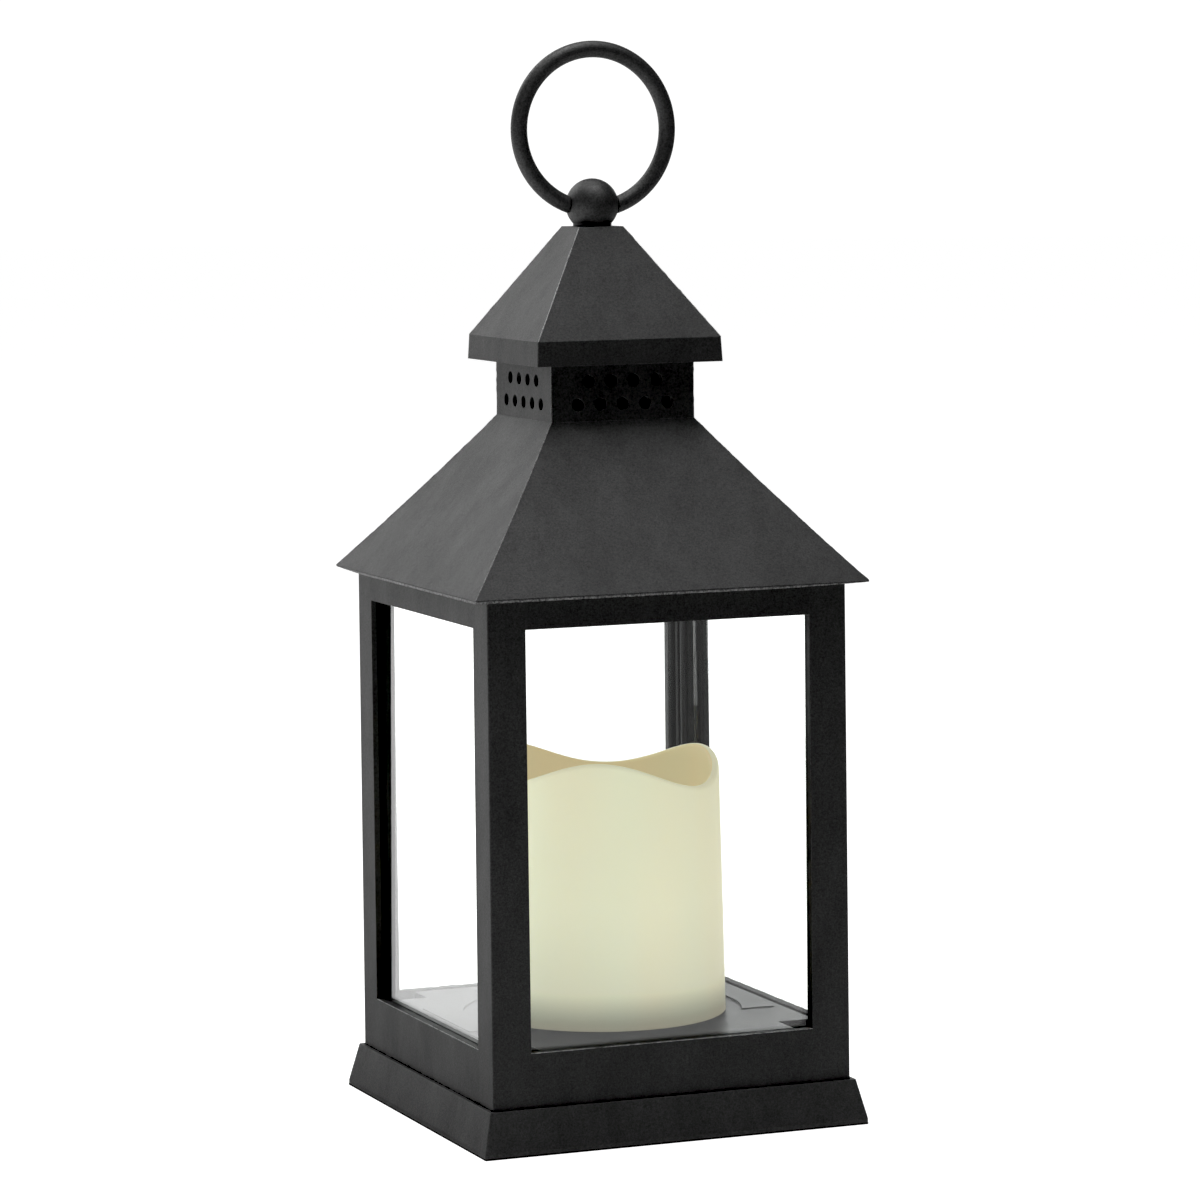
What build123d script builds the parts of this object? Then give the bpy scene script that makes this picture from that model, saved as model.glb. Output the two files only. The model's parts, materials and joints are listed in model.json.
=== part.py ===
from build123d import *
import math
import os

# Solar lantern: a moulded plastic lantern with four glass panes, an LED candle, a small solar
# module on the rear roof slope and its battery and electronics in the base.
# Millimetres. +Z up, front is -Y, origin at the centre of the plinth's underside.

# ---- plinth ----
PLINTH_BOTTOM_HALF = 52.84
PLINTH_TOP_HALF = 50.49
PLINTH_HEIGHT = 11.57
PLINTH_LIP = 1.5
PLINTH_WALL = 2.0
PLATE_BOTTOM = 2.0
PLATE_TOP = 4.4
LEDGE_Z = 6.0
EDGE_ROUND = 0.35

# ---- body frame ----
BODY_HALF = 49.3
BODY_TOP_HALF = 49.0
BODY_TOP = 140.99
BODY_INNER_BOTTOM_HALF = 47.4
BODY_INNER_TOP_HALF = 46.3
WINDOW_HALF = 38.85
WINDOW_BOTTOM = 25.66
WINDOW_TOP = 132.88
SOCKET_GAP = 0.12

# ---- glazing and the corner ribs that hold it ----
PANE_THICKNESS = 1.8
PANE_HALF_WIDTH = 42.1
PANE_BOTTOM = 22.9
PANE_TOP = 137.0
PANE_GAP = 0.1
RIB_INNER = 42.4
RIB_OUTER = 43.95
RIB_START = 40.2
RIB_TOP = 137.4

# ---- corner screw columns ----
CORNER = 38.6
COLUMN_RADIUS = 3.0
COLUMN_TOP = 17.5
TAB_BOTTOM = 134.0
TAB_TOP = 136.4
ARM_LOW = 37.5
ARM_HIGH = 40.5

# ---- roof ----
EAVE_HALF = 53.7
EAVE_EDGE = 0.3
EAVE_FLOOR = 1.0
NECK_HALF = 19.8
NECK_BOTTOM = 182.34
NECK_TOP = 207.0
NECK_WALL = 1.8
NECK_DECK = 2.0
SLOPE_SAG = 0.4
ROOF_WALL = 2.4
LIP_OUTER_HALF = 46.1
LIP_INNER_HALF = 44.3
LIP_BOTTOM = 137.6
VENT_DIAMETER = 3.2
VENT_PITCH = 6.22
VENT_ROWS = ((186.7, 5), (192.65, 4))
BOSS_RADIUS = 3.0

# ---- cap and knob ----
CAP_BOTTOM = 197.0
CAP_BOTTOM_HALF = 25.61
CAP_KNEE = 203.33
CAP_KNEE_HALF = 25.29
CAP_TOP = 231.71
CAP_TOP_HALF = 6.16
CAP_WALL = 1.8
CAP_TUBE_RADIUS = 5.4
STEM_RADIUS = 3.5
STEM_BOTTOM = 212.0
BALL_Z = 237.22
BALL_RADIUS = 6.88
COLLAR_RADIUS = 5.0
COLLAR_HEIGHT = 0.95

# ---- carry ring ----
RING_Z = 256.8
RING_RADIUS = 20.65
RING_WIRE = 2.16
RING_END_GAP = 0.25
RING_LEAN = 1.7
PIVOT_RADIUS = 1.5
PIVOT_INNER = 2.3
PIVOT_OUTER = 7.3
RUNNING_GAP = 0.03

# ---- floor tray ----
TRAY_TOP = 25.45
TRAY_BOTTOM = 23.85
TRAY_HALF = 44.9
FLANGE_HALF = 46.8
FLANGE_BOTTOM = 21.0
CANDLE_SEAT_RADIUS = 36.0
CANDLE_SEAT_DEPTH = 0.15
PAD_RAISE = 0.25
PAD_X = (-41.7, 42.6)
PAD_Y = (-15.5, 20.3)
NOTCH = (35.0, 35.3)
TRAY_LEG = (24.0, 40.0)

# ---- LED candle, standing a little off centre ----
CANDLE_CENTRE = (1.0, 0.7)
CANDLE_BASE_RADIUS = 31.9
CANDLE_TOP_RADIUS = 30.7
CANDLE_RIM_Z = 90.9
CANDLE_WAVE = 3.5
CANDLE_WAVE_TURN = 113.0
CANDLE_RIM_FALL = 0.6
CANDLE_WALL = 2.4
CANDLE_FOOT = 0.4
DECK_RADIUS = 28.3
DECK_BOTTOM = 70.0
DECK_TOP = 72.0
DECK_LEG_CIRCLE = 22.0
POST_RADIUS = 5.0
POST_BORE = 3.2
POST_FOOT = (9.0, 1.6)
LED_RADIUS = 2.5
LED_BODY = 6.1
LED_FLANGE_RADIUS = 2.9
LEG_PITCH = 2.54
LEG_BOTTOM = 63.0

# ---- solar module, on the rear slope ----
SOLAR_WIDTH = 38.0
SOLAR_LENGTH = 26.0
SOLAR_Z = 157.5
SOLAR_RIM = 1.6
SOLAR_PROUD = 1.4
BACKING_THICKNESS = 0.8
CELL_THICKNESS = 0.25
CELL_COUNT = 4
CABLE_HOLE = (-15.0, -6.0)

# ---- base electronics ----
CELL_RADIUS = 7.25
CELL_BODY = 49.2
CELL_X = -7.0
CELL_Y = 7.7
CELL_Z = 11.8
BOX_LENGTH = 56.0
BOX_WIDTH = 15.4
BOX_TOP = 20.4
BOX_WALL = 1.3
BOX_FLANGE = 1.2
EAR_REACH = 4.6
FLANGE_REACH = 3.2
DOOR_LENGTH = 58.0
DOOR_WIDTH = 18.4
DOOR_GAP = 0.25
DOOR_HINGE_Z = 3.1
DOOR_HALF_THICKNESS = 1.05
PIP_RADIUS = 0.65
PIP_LENGTH = 1.1
BOARD = (33.2, 1.0)
BOARD_SIZE = (17.5, 30.0)
BOARD_BOTTOM = 8.2
BOARD_TOP = 9.8
STANDOFFS = ((28.4, 13.2), (39.6, 13.2), (28.4, -11.4))
SWITCH = (34.0, -7.0)
SWITCH_TRAVEL = 2.0

# ---- screws: head radius, head height, shank radius, shank length ----
BIG_SCREW = (2.3, 1.6, 1.25, 11.0)
SMALL_SCREW = (1.8, 1.1, 0.9, 4.4)
BOX_SCREW = (1.8, 1.1, 0.9, 3.0)
CANDLE_SCREW = (2.3, 1.4, 1.25, 9.0)
KNOB_SCREW = (3.0, 2.2, 1.45, 20.0)
WASHER = (4.5, 0.8)
SCREW_GAP = 0.02
SCREW_CLEARANCE = 0.25
SMALL_CLEARANCE = 0.15
COUNTERBORE_DEPTH = 1.2
COUNTERBORE_CLEARANCE = 0.3
CABLE_RADIUS = 0.85
CABLE_CORNER = 41.45
WIRE_RADIUS = 0.55


def block(x0, x1, y0, y1, z0, z1):
    """A box between two corners."""
    centre = ((x0 + x1) / 2, (y0 + y1) / 2, (z0 + z1) / 2)
    return Pos(*centre) * Box(x1 - x0, y1 - y0, z1 - z0)


def rod(x, y, z0, z1, radius):
    """An upright cylinder."""
    return Pos(x, y, (z0 + z1) / 2) * Cylinder(radius, z1 - z0)


def square(half, z):
    return Pos(0, 0, z) * Rectangle(2 * half, 2 * half)


def frustum(half0, z0, half1, z1):
    """A square pyramid stump between two heights."""
    return loft([square(half0, z0), square(half1, z1)], ruled=True)


def corners(x, y=None):
    """The same point in all four quadrants."""
    y = x if y is None else y
    return [(sx * x, sy * y) for sx in (-1, 1) for sy in (-1, 1)]


def steep(edge):
    """True for edges that climb a corner instead of running level."""
    return abs(edge.tangent_at(0.5).Z) > 0.3


def total(shapes):
    """Several solids fused, or grouped when they don't touch."""
    first, *rest = shapes
    return first.fuse(*rest) if rest else first


def group(solids):
    """Separate solids kept apart in one node."""
    return Compound(children=[s for shape in solids for s in shape.solids()])


def screw(x, y, head_z, size, up=True):
    """A pan-head self-tapping screw with a cross recess; head_z is the face under its head."""
    head_radius, head_height, shank_radius, shank_length = size
    way = 1 if up else -1
    head = rod(0, 0, -head_height, 0, head_radius)
    head = fillet(head.edges().filter_by(GeomType.CIRCLE).sort_by(Axis.Z)[0], head_height * 0.45)
    slot = head_radius * 1.15
    for turn in (0, 90):
        head -= Rot(0, 0, turn) * Pos(0, 0, -head_height) * Box(slot, slot * 0.22, head_height * 0.9)
    shank = rod(0, 0, 0, shank_length, shank_radius)
    shank = chamfer(shank.edges().sort_by(Axis.Z)[-1], shank_radius * 0.5)
    body = head + shank
    if way < 0:
        body = Rot(180, 0, 0) * body
    return Pos(x, y, head_z) * body


def strand(points, radius, bend):
    """A round wire swept along a path with rounded bends."""
    path = FilletPolyline(*points, radius=bend)
    section = Plane(origin=path @ 0, z_dir=path % 0) * Circle(radius)
    return sweep(section, path=path, transition=Transition.ROUND)


# ---------------------------------------------------------------- structure
def corner_arms(z0, z1):
    """The block in each corner that carries a screw and ties into the ribs."""
    out = []
    for sx in (-1, 1):
        for sy in (-1, 1):
            arm_x = block(CORNER - 1, RIB_OUTER, ARM_LOW, ARM_HIGH, z0, z1)
            arm_y = block(ARM_LOW, ARM_HIGH, CORNER - 1, RIB_OUTER, z0, z1)
            piece = arm_x + arm_y + rod(CORNER, CORNER, z0, z1, COLUMN_RADIUS)
            out.append(piece if sx > 0 else mirror(piece, Plane.YZ))
            if sy < 0:
                out[-1] = mirror(out[-1], Plane.XZ)
    return out


def body_frame():
    """One moulding: sill, four posts, header, and the ribs that form the glass slots."""
    outer = frustum(BODY_HALF, LEDGE_Z, BODY_TOP_HALF, BODY_TOP)
    outer = fillet(outer.edges().filter_by(steep), EDGE_ROUND)
    inner = frustum(BODY_INNER_BOTTOM_HALF, LEDGE_Z, BODY_INNER_TOP_HALF, BODY_TOP)
    shell = outer - inner
    reach = BODY_HALF + 5
    for a, b in ((WINDOW_HALF, reach), (reach, WINDOW_HALF)):
        shell -= block(-a, a, -b, b, WINDOW_BOTTOM, WINDOW_TOP)
    ribs = []
    wall = BODY_INNER_TOP_HALF + 1.4
    for sx in (-1, 1):
        for sy in (-1, 1):
            for x0, x1, y0, y1 in (
                (RIB_INNER, RIB_OUTER, RIB_START, wall),
                (RIB_START, wall, RIB_INNER, RIB_OUTER),
            ):
                xs = sorted((sx * x0, sx * x1))
                ys = sorted((sy * y0, sy * y1))
                ribs.append(block(*xs, *ys, LEDGE_Z, RIB_TOP) & outer)
    columns = corner_arms(PLATE_TOP, COLUMN_TOP)
    tabs = corner_arms(TAB_BOTTOM, TAB_TOP)
    shell = total([shell, *ribs, *columns, *tabs])
    for x, y in corners(CORNER):
        shell -= rod(x, y, PLATE_TOP - 1, COLUMN_TOP - 1.2, BIG_SCREW[2] + SCREW_GAP)
        shell -= rod(x, y, TAB_BOTTOM - 1, TAB_TOP + 1, BIG_SCREW[2] + SCREW_CLEARANCE)
    return shell


def pane(turn):
    """One glass pane, leaning with the draft of the wall in front of it."""
    low = BODY_INNER_BOTTOM_HALF - PANE_GAP - 0.15
    high = BODY_INNER_TOP_HALF - PANE_GAP
    t = PANE_THICKNESS
    profile = Polyline(
        (-low, PANE_BOTTOM), (-low + t, PANE_BOTTOM), (-high + t, PANE_TOP), (-high, PANE_TOP), close=True
    )
    face = Plane.YZ * make_face(profile)
    return Rot(0, 0, turn) * extrude(face, PANE_HALF_WIDTH, both=True)


def plinth():
    """The splayed foot, its floor plate, the socket for the body and the base openings."""
    lip = frustum(PLINTH_BOTTOM_HALF, 0, PLINTH_BOTTOM_HALF, PLINTH_LIP)
    foot = lip + frustum(PLINTH_BOTTOM_HALF, PLINTH_LIP, PLINTH_TOP_HALF, PLINTH_HEIGHT)
    foot = fillet(foot.edges().filter_by(steep), EDGE_ROUND)
    under = PLINTH_BOTTOM_HALF - PLINTH_WALL
    socket = BODY_HALF + SOCKET_GAP
    foot -= block(-under, under, -under, under, -1, PLATE_BOTTOM)
    foot -= block(-socket, socket, -socket, socket, LEDGE_Z, PLINTH_HEIGHT + 1)
    room = BODY_INNER_BOTTOM_HALF - 0.3
    foot -= block(-room, room, -room, room, PLATE_TOP, LEDGE_Z + 1)
    for x, y in [*corners(CORNER), *corners(*TRAY_LEG)]:
        foot -= rod(x, y, PLATE_BOTTOM - 1, PLATE_TOP + 1, BIG_SCREW[2] + SCREW_CLEARANCE)
        bore = BIG_SCREW[0] + COUNTERBORE_CLEARANCE
        foot -= rod(x, y, PLATE_BOTTOM - 1, PLATE_BOTTOM + COUNTERBORE_DEPTH, bore)
    for x, y in STANDOFFS:
        foot += rod(x, y, PLATE_TOP, BOARD_BOTTOM, 2.3)
        foot -= rod(x, y, PLATE_TOP + 0.6, BOARD_BOTTOM + 1, SMALL_SCREW[2] + SCREW_GAP)
    foot -= door_opening()
    for x in box_screw_places():
        foot -= rod(x, CELL_Y, PLATE_BOTTOM - 1, PLATE_TOP + 1, SMALL_SCREW[2] + SCREW_GAP)
    sx, sy = SWITCH
    foot -= block(sx - 2.1, sx + SWITCH_TRAVEL + 2.1, sy - 1.2, sy + 1.2, PLATE_BOTTOM - 1, PLATE_TOP + 1)
    return foot


def corner_notches():
    """Corner cut-outs of the tray, clear of the ribs, columns and the cable."""
    reach = FLANGE_HALF + 1
    for sx in (-1, 1):
        for sy in (-1, 1):
            xs = sorted((sx * NOTCH[0], sx * reach))
            ys = sorted((sy * NOTCH[1], sy * reach))
            yield block(*xs, *ys, FLANGE_BOTTOM - 1, TRAY_TOP + 2)


def floor_tray():
    """The lantern's floor: it carries the candle and the lower edges of the panes."""
    tray = block(-TRAY_HALF, TRAY_HALF, -TRAY_HALF, TRAY_HALF, FLANGE_BOTTOM, TRAY_TOP)
    pad = block(*PAD_X, *PAD_Y, TRAY_TOP, TRAY_TOP + PAD_RAISE)
    tray += chamfer(pad.edges().group_by(Axis.Z)[-1], PAD_RAISE * 0.6)
    tray += block(-FLANGE_HALF, FLANGE_HALF, -FLANGE_HALF, FLANGE_HALF, FLANGE_BOTTOM, PANE_BOTTOM - 0.05)
    room = TRAY_HALF - 1.5
    tray -= block(-room, room, -room, room, FLANGE_BOTTOM - 1, TRAY_BOTTOM)
    tray -= rod(*CANDLE_CENTRE, TRAY_TOP - CANDLE_SEAT_DEPTH, TRAY_TOP + 2, CANDLE_SEAT_RADIUS)
    for notch in corner_notches():
        tray -= notch
    for x, y in corners(*TRAY_LEG):
        tray += rod(x, y, PLATE_TOP, TRAY_BOTTOM + 0.2, COLUMN_RADIUS)
        tray -= rod(x, y, PLATE_TOP - 1, TRAY_BOTTOM - 4, BIG_SCREW[2] + SCREW_GAP)
    tray -= rod(*CANDLE_CENTRE, FLANGE_BOTTOM, TRAY_TOP + 2, POST_BORE)
    for x, y in deck_leg_places():
        tray -= rod(x, y, FLANGE_BOTTOM, TRAY_TOP + 2, BIG_SCREW[2] + SCREW_CLEARANCE)
    return tray


def slope_plane():
    """A plane lying on the rear slope: local X along the eave, local Y up the slope."""
    rise = NECK_BOTTOM - (BODY_TOP + EAVE_EDGE)
    run = EAVE_HALF - NECK_HALF
    y = EAVE_HALF - (SOLAR_Z - BODY_TOP - EAVE_EDGE) * run / rise
    return Plane(origin=(0, y, SOLAR_Z), x_dir=(-1, 0, 0), z_dir=(0, rise, run))


def slopes(inset):
    """The slightly hollow four-sided slope, moved inwards by an inset."""
    low = BODY_TOP + EAVE_EDGE
    rise = NECK_BOTTOM - low
    run = EAVE_HALF - NECK_HALF
    length = math.hypot(rise, run)
    mid_half = (EAVE_HALF + NECK_HALF) / 2 - SLOPE_SAG * rise / length
    mid_z = (low + NECK_BOTTOM) / 2 - SLOPE_SAG * run / length
    sections = [
        square(EAVE_HALF - inset, low),
        square(mid_half - inset, mid_z),
        square(NECK_HALF - inset, NECK_BOTTOM),
    ]
    return loft(sections)


def solar_seat():
    """Raised rim on the rear slope, and the pocket and cable hole it frames."""
    plane = slope_plane()
    wide = SOLAR_WIDTH + 2 * SOLAR_RIM + 0.4
    long = SOLAR_LENGTH + 2 * SOLAR_RIM + 0.4
    rim = plane * Pos(0, 0, (SOLAR_PROUD - 1.6) / 2) * Box(wide, long, SOLAR_PROUD + 1.6)
    rim = chamfer(rim.edges().group_by(Axis.Y)[-1], 0.3)
    pocket = plane * Pos(0, 0, 2) * Box(SOLAR_WIDTH + 0.4, SOLAR_LENGTH + 0.4, 4)
    hole = plane * Pos(*CABLE_HOLE, 0) * Cylinder(CABLE_RADIUS + 0.3, 12)
    return rim, pocket, hole


def vents():
    """Two staggered rows of round holes through each wall of the neck."""
    holes = []
    for z, count in VENT_ROWS:
        for i in range(count):
            across = (i - (count - 1) / 2) * VENT_PITCH
            drill = Cylinder(VENT_DIAMETER / 2, 3 * NECK_HALF)
            holes.append(Pos(across, 0, z) * Rot(90, 0, 0) * drill)
            holes.append(Pos(0, across, z) * Rot(0, 90, 0) * drill)
    return holes


def main_roof():
    """Hollow roof with its eave rim, vented neck, locating lip and screw bosses."""
    low = BODY_TOP + EAVE_EDGE
    eave = block(-EAVE_HALF, EAVE_HALF, -EAVE_HALF, EAVE_HALF, BODY_TOP, low)
    eave = fillet(eave.edges().filter_by(Axis.Z), 0.8)
    neck = block(-NECK_HALF, NECK_HALF, -NECK_HALF, NECK_HALF, NECK_BOTTOM, NECK_TOP)
    pyramid = slopes(0)
    pyramid = fillet(pyramid.edges().filter_by(steep), EDGE_ROUND)
    neck = fillet(neck.edges().filter_by(Axis.Z), EDGE_ROUND)
    outside = eave + pyramid + neck
    hollow = NECK_HALF - NECK_WALL
    cavity = slopes(ROOF_WALL) - block(*(-EAVE_HALF, EAVE_HALF) * 2, BODY_TOP, BODY_TOP + EAVE_FLOOR)
    cavity += block(-hollow, hollow, -hollow, hollow, NECK_BOTTOM - 3, NECK_TOP - NECK_DECK)
    mouth = LIP_INNER_HALF
    cavity += block(-mouth, mouth, -mouth, mouth, BODY_TOP - 1, BODY_TOP + 2)
    lip = block(*(-LIP_OUTER_HALF, LIP_OUTER_HALF) * 2, LIP_BOTTOM, BODY_TOP + EAVE_FLOOR)
    lip -= block(*(-mouth, mouth) * 2, LIP_BOTTOM - 1, BODY_TOP + 2)
    for x, y in corners(LIP_OUTER_HALF - 2):
        lip -= Pos(x, y, LIP_BOTTOM) * Box(8, 8, 20)
    rim, pocket, hole = solar_seat()
    below = block(-EAVE_HALF, EAVE_HALF, -EAVE_HALF, EAVE_HALF, TAB_TOP, BODY_TOP)
    bosses = [rod(x, y, TAB_TOP, CAP_BOTTOM, BOSS_RADIUS) & (outside + below) for x, y in corners(CORNER)]
    roof = (outside + rim) - cavity
    roof = total([roof, lip, *bosses])
    for x, y in corners(CORNER):
        roof -= rod(x, y, TAB_TOP - 1, TAB_TOP + 10, BIG_SCREW[2] + SCREW_GAP)
    for cut in [pocket, hole, *vents()]:
        roof -= cut
    roof -= rod(0, 0, NECK_TOP - 3, NECK_TOP + 1, KNOB_SCREW[2] + SCREW_CLEARANCE)
    return roof


def top_cap():
    """Small pyramid with a skirt, and the tube inside it that the knob's stem slides into."""
    skirt = frustum(CAP_BOTTOM_HALF, CAP_BOTTOM, CAP_KNEE_HALF, CAP_KNEE)
    cone = frustum(CAP_KNEE_HALF, CAP_KNEE, CAP_TOP_HALF, CAP_TOP)
    outside = skirt + cone
    outside = fillet(outside.edges().filter_by(steep), EDGE_ROUND)
    slope = math.atan2(CAP_TOP - CAP_KNEE, CAP_KNEE_HALF - CAP_TOP_HALF)
    inset = CAP_WALL / math.sin(slope)
    drop = inset * math.tan(slope) * 0.2
    inside = frustum(CAP_BOTTOM_HALF - CAP_WALL, CAP_BOTTOM, CAP_KNEE_HALF - CAP_WALL, CAP_KNEE - drop)
    peak = CAP_TOP - 2.6
    peak_half = CAP_KNEE_HALF - inset - (peak - CAP_KNEE) / math.tan(slope)
    knee_half = CAP_KNEE_HALF - inset + drop / math.tan(slope)
    inside += frustum(knee_half, CAP_KNEE - drop, peak_half, peak)
    cap = outside - inside
    cap += rod(0, 0, NECK_TOP, CAP_TOP - 1, CAP_TUBE_RADIUS) & outside
    cap -= rod(0, 0, CAP_BOTTOM, CAP_TOP + 1, STEM_RADIUS + 0.05)
    return cap


def ball_knob():
    """The ball that carries the ring, with its collar, stem and two blind pivot sockets."""
    ball = Pos(0, 0, BALL_Z) * Sphere(BALL_RADIUS)
    ball -= block(-10, 10, -10, 10, BALL_Z - 20, CAP_TOP)
    ball += rod(0, 0, CAP_TOP, CAP_TOP + COLLAR_HEIGHT, COLLAR_RADIUS)
    ball += rod(0, 0, STEM_BOTTOM, CAP_TOP + 1, STEM_RADIUS)
    ball -= rod(0, 0, STEM_BOTTOM - 1, STEM_BOTTOM + 16, KNOB_SCREW[2] + SCREW_GAP)
    depth = BALL_RADIUS + 1 - (PIVOT_INNER - 0.2)
    for side in (-1, 1):
        centre = side * (BALL_RADIUS + 1 - depth / 2)
        ball -= Pos(centre, 0, BALL_Z) * Rot(0, 90, 0) * Cylinder(PIVOT_RADIUS + RUNNING_GAP, depth)
    return ball


def carry_ring():
    """An open ring whose two ends carry short pivots that turn in the ball."""
    ring = Pos(0, 0, RING_Z - BALL_Z) * Rot(90, 0, 0) * Torus(RING_RADIUS, RING_WIRE)
    ring = Pos(0, 0, BALL_Z) * Rot(0, RING_LEAN, 0) * ring
    ring -= Pos(0, 0, BALL_Z) * Sphere(BALL_RADIUS + RING_END_GAP)
    ring = ring.solids().sort_by(SortBy.VOLUME)[-1]
    length = PIVOT_OUTER - PIVOT_INNER
    for side in (-1, 1):
        centre = side * (PIVOT_INNER + length / 2)
        ring += Pos(centre, 0, BALL_Z) * Rot(0, 90, 0) * Cylinder(PIVOT_RADIUS, length)
    return ring


# ---------------------------------------------------------------- candle
def deck_leg_places():
    x, y = CANDLE_CENTRE
    for turn in (90, 210, 330):
        yield (
            x + DECK_LEG_CIRCLE * math.cos(math.radians(turn)),
            y + DECK_LEG_CIRCLE * math.sin(math.radians(turn)),
        )


def rim_height(x, y):
    """Height of the melted, three-lobed rim, measured from the candle's axis."""
    lobe = ((x + 1j * y) / CANDLE_TOP_RADIUS) ** 3
    turn = math.radians(3 * CANDLE_WAVE_TURN)
    wave = CANDLE_WAVE * (lobe * complex(math.cos(turn), math.sin(turn))).real
    return CANDLE_RIM_Z + wave - CANDLE_RIM_FALL * x / CANDLE_TOP_RADIUS


def candle_shell():
    """Hollow wax-like cup, slightly tapered, open below, with a wavy rim."""
    base = TRAY_TOP - CANDLE_SEAT_DEPTH
    top = CANDLE_RIM_Z + 3 * CANDLE_WAVE
    taper = (CANDLE_BASE_RADIUS - CANDLE_TOP_RADIUS) / (CANDLE_RIM_Z - base)
    top_radius = CANDLE_BASE_RADIUS - taper * (top - base)
    height = top - base
    outer = Pos(0, 0, base + height / 2) * Cone(CANDLE_BASE_RADIUS, top_radius, height)
    outer = fillet(outer.edges().sort_by(Axis.Z)[0], CANDLE_FOOT)
    wall = CANDLE_WALL
    inner = Pos(0, 0, base + height / 2) * Cone(CANDLE_BASE_RADIUS - wall, top_radius - wall, height + 0.02)
    reach = CANDLE_BASE_RADIUS + 3
    steps = [reach * (i / 12 - 1) for i in range(25)]
    grid = [[Vector(x, y, rim_height(x, y)) for y in steps] for x in steps]
    waste = extrude(Face.make_surface_from_array_of_points(grid), amount=60, dir=(0, 0, 1))
    return Pos(*CANDLE_CENTRE, 0) * ((outer - inner) - waste)


def candle_deck():
    """Disc inside the candle that holds the LED and keeps the shell down, on three legs."""
    base = TRAY_TOP - CANDLE_SEAT_DEPTH
    deck = rod(*CANDLE_CENTRE, DECK_BOTTOM, DECK_TOP, DECK_RADIUS)
    for x, y in deck_leg_places():
        deck += rod(x, y, base, DECK_BOTTOM + 1, COLUMN_RADIUS)
        deck -= rod(x, y, base - 1, base + 9, BIG_SCREW[2] + SCREW_GAP)
    deck -= rod(*CANDLE_CENTRE, DECK_BOTTOM - 1, DECK_TOP + 1, LED_RADIUS + 0.1)
    return deck


def led_post():
    """Tube from the floor to the deck that guides the LED's wires."""
    base = TRAY_TOP - CANDLE_SEAT_DEPTH
    foot = rod(*CANDLE_CENTRE, base, base + POST_FOOT[1], POST_FOOT[0])
    post = rod(*CANDLE_CENTRE, base, DECK_BOTTOM, POST_RADIUS) + foot
    return post - rod(*CANDLE_CENTRE, base - 1, DECK_BOTTOM + 1, POST_BORE)


def led_lamp():
    """A 5 mm LED: flange, body and dome."""
    top = DECK_BOTTOM + LED_BODY
    flange = rod(*CANDLE_CENTRE, DECK_BOTTOM - 1, DECK_BOTTOM, LED_FLANGE_RADIUS)
    body = rod(*CANDLE_CENTRE, DECK_BOTTOM, top, LED_RADIUS)
    return flange + body + Pos(*CANDLE_CENTRE, top) * Sphere(LED_RADIUS)


def led_legs():
    """The LED's two square legs."""
    x, y0 = CANDLE_CENTRE
    legs = []
    for y in (y0 - LEG_PITCH / 2, y0 + LEG_PITCH / 2):
        legs.append(block(x - 0.25, x + 0.25, y - 0.25, y + 0.25, LEG_BOTTOM, DECK_BOTTOM - 1))
    return group(legs)


# ---------------------------------------------------------------- solar module
def solar_sheet(width, length, low, high):
    return slope_plane() * Pos(0, 0, (low + high) / 2) * Box(width, length, high - low)


def solar_cells():
    """Silicon strips side by side on the backing."""
    pitch = (SOLAR_WIDTH - 2) / CELL_COUNT
    strip = Box(pitch - 0.5, SOLAR_LENGTH - 3, CELL_THICKNESS)
    z = BACKING_THICKNESS + CELL_THICKNESS / 2
    return group(
        slope_plane() * Pos((i - (CELL_COUNT - 1) / 2) * pitch, 0, z) * strip for i in range(CELL_COUNT)
    )


def solar_resin():
    """Clear resin poured over the cells, rounded at its edges."""
    sheet = solar_sheet(SOLAR_WIDTH, SOLAR_LENGTH, BACKING_THICKNESS, BACKING_THICKNESS + 0.8)
    sheet = chamfer(sheet.edges().group_by(Axis.Y)[-1], 0.3)
    return sheet - solar_cells()


def solar_cable():
    """Two-core cable from the module, along the header and down the rear right corner."""
    plane = slope_plane()
    start = plane.from_local_coords((*CABLE_HOLE, -0.05))
    inside = plane.from_local_coords((*CABLE_HOLE, -5.2))
    run_y = CABLE_CORNER + 2.1
    run_z = BODY_TOP + 4.5
    exit_z = 20.0
    points = [
        start, inside, (17.5, run_y, run_z), (CABLE_CORNER, run_y, run_z),
        (CABLE_CORNER, CABLE_CORNER, BODY_TOP),
        (CABLE_CORNER, CABLE_CORNER, exit_z), (37.5, 11.0, exit_z), (37.5, 11.0, BOARD_TOP + 0.05),
    ]
    return strand([tuple(p) for p in points], CABLE_RADIUS, 1.5)


# ---------------------------------------------------------------- base electronics
def door_centre_y():
    return CELL_Y


def hinge_y():
    return door_centre_y() + DOOR_WIDTH / 2 - DOOR_HALF_THICKNESS


def door_opening():
    """The opening for the battery door, with blind holes for its two pips."""
    half_x = DOOR_LENGTH / 2 + DOOR_GAP
    half_y = DOOR_WIDTH / 2 + DOOR_GAP
    y = door_centre_y()
    hole = block(CELL_X - half_x, CELL_X + half_x, y - half_y, y + half_y, PLATE_BOTTOM - 1, PLATE_TOP + 1)
    pips = Pos(CELL_X, hinge_y(), DOOR_HINGE_Z) * Rot(0, 90, 0)
    return hole + pips * Cylinder(PIP_RADIUS + RUNNING_GAP, DOOR_LENGTH + 2 * PIP_LENGTH + 0.4)


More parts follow.
